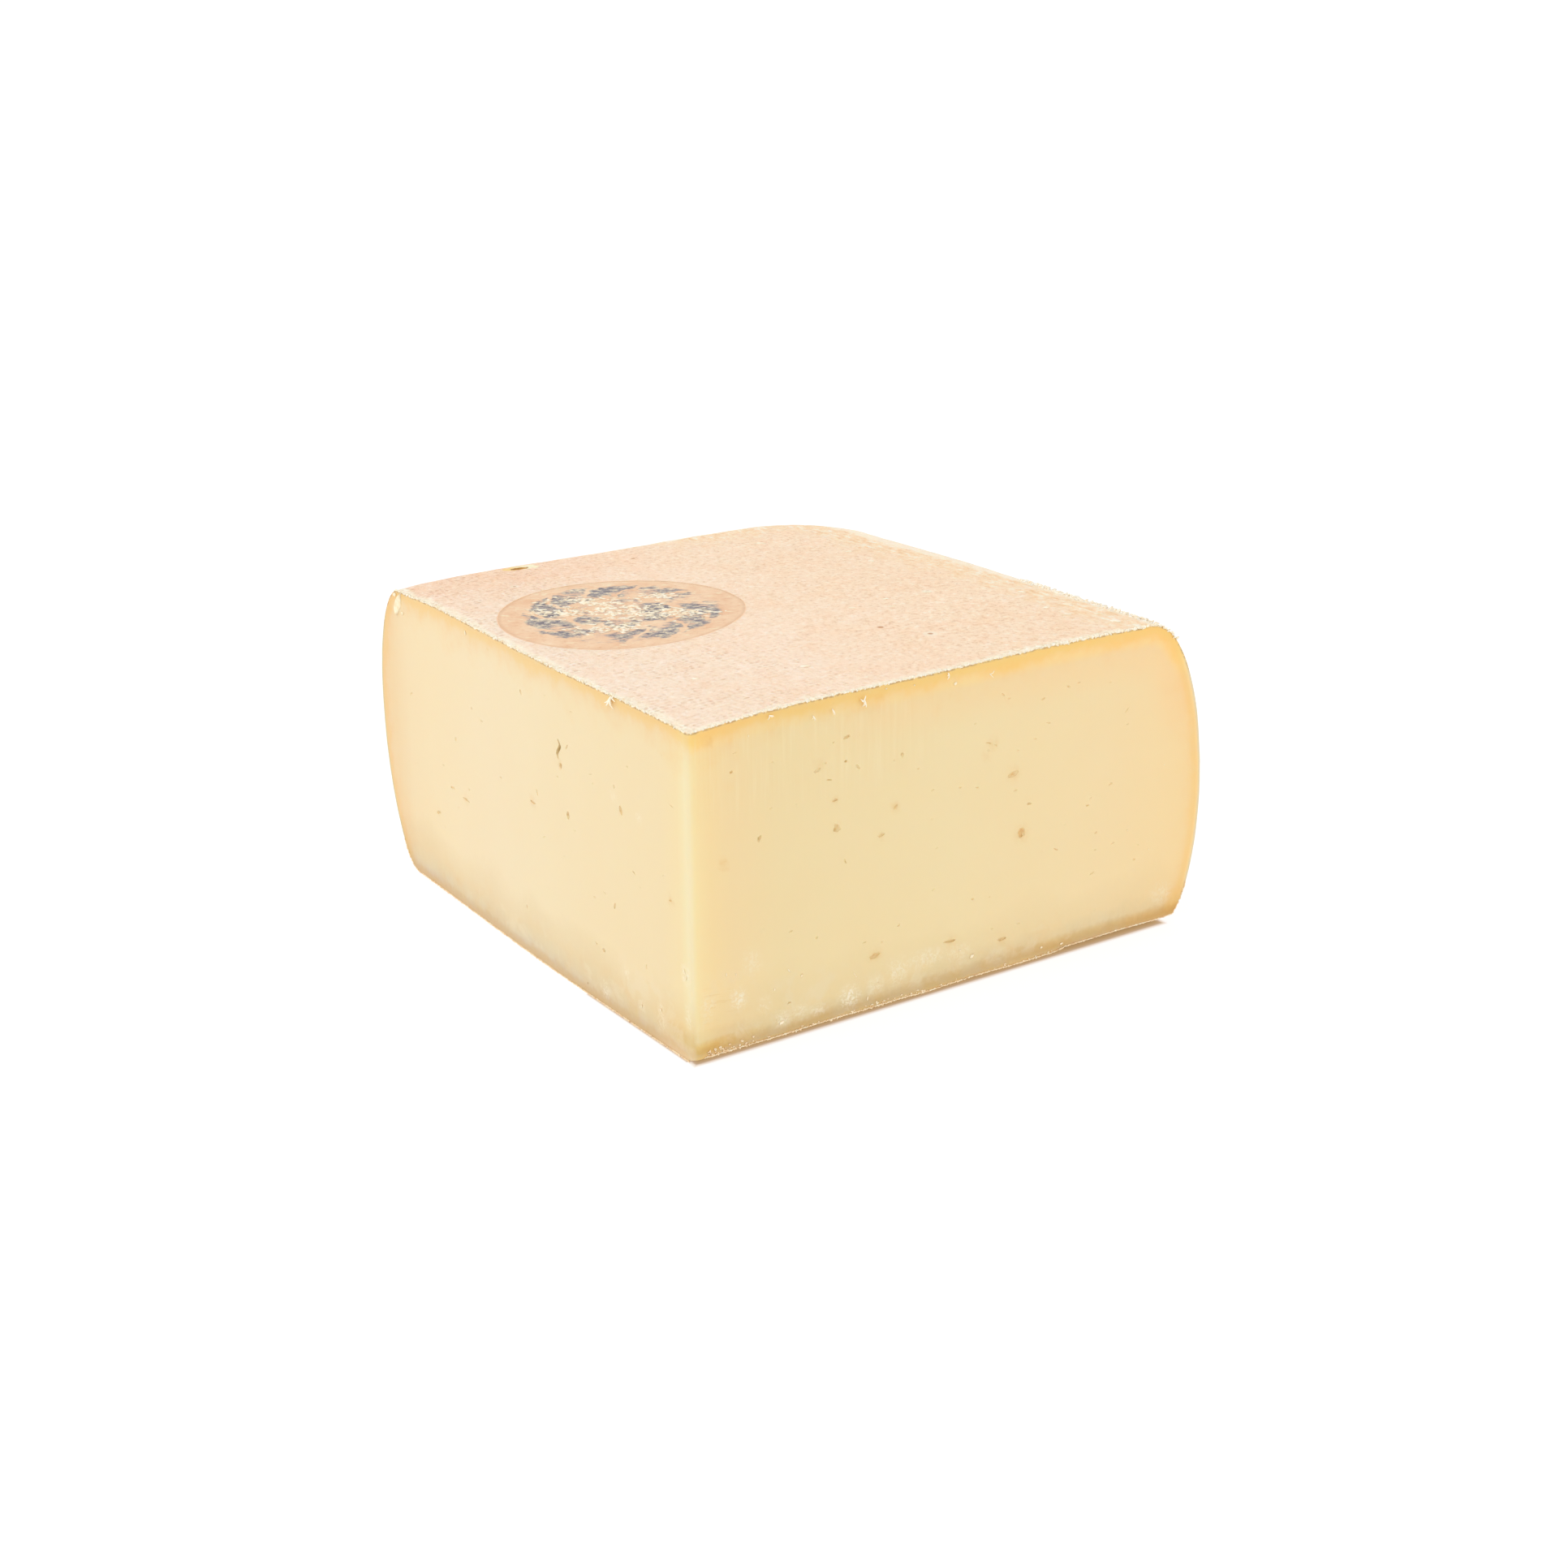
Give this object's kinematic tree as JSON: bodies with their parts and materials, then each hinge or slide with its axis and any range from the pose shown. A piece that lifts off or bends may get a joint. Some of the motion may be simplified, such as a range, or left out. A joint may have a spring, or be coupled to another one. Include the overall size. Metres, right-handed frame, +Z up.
{
  "type": "quarter of a square cheese",
  "caption": "Quarter of a square washed-rind cheese with two flat cut faces, rounded rind edges and a round label on top.",
  "frame": {"origin": "middle of the footprint, on the surface the cheese stands on", "axes": "+X along the right cut face away from the shared cut edge, +Y along the left cut face away from it, +Z up"},
  "size_m": [0.1466, 0.155, 0.0781],
  "materials": {
    "paste": "freshly cut, faintly waxy",
    "rind": "dry, with a cloth imprint",
    "label": "matt, worn print"
  },
  "bodies": {
    "root": {"cheese": "paste", "label": "label"}
  },
  "joints": []
}
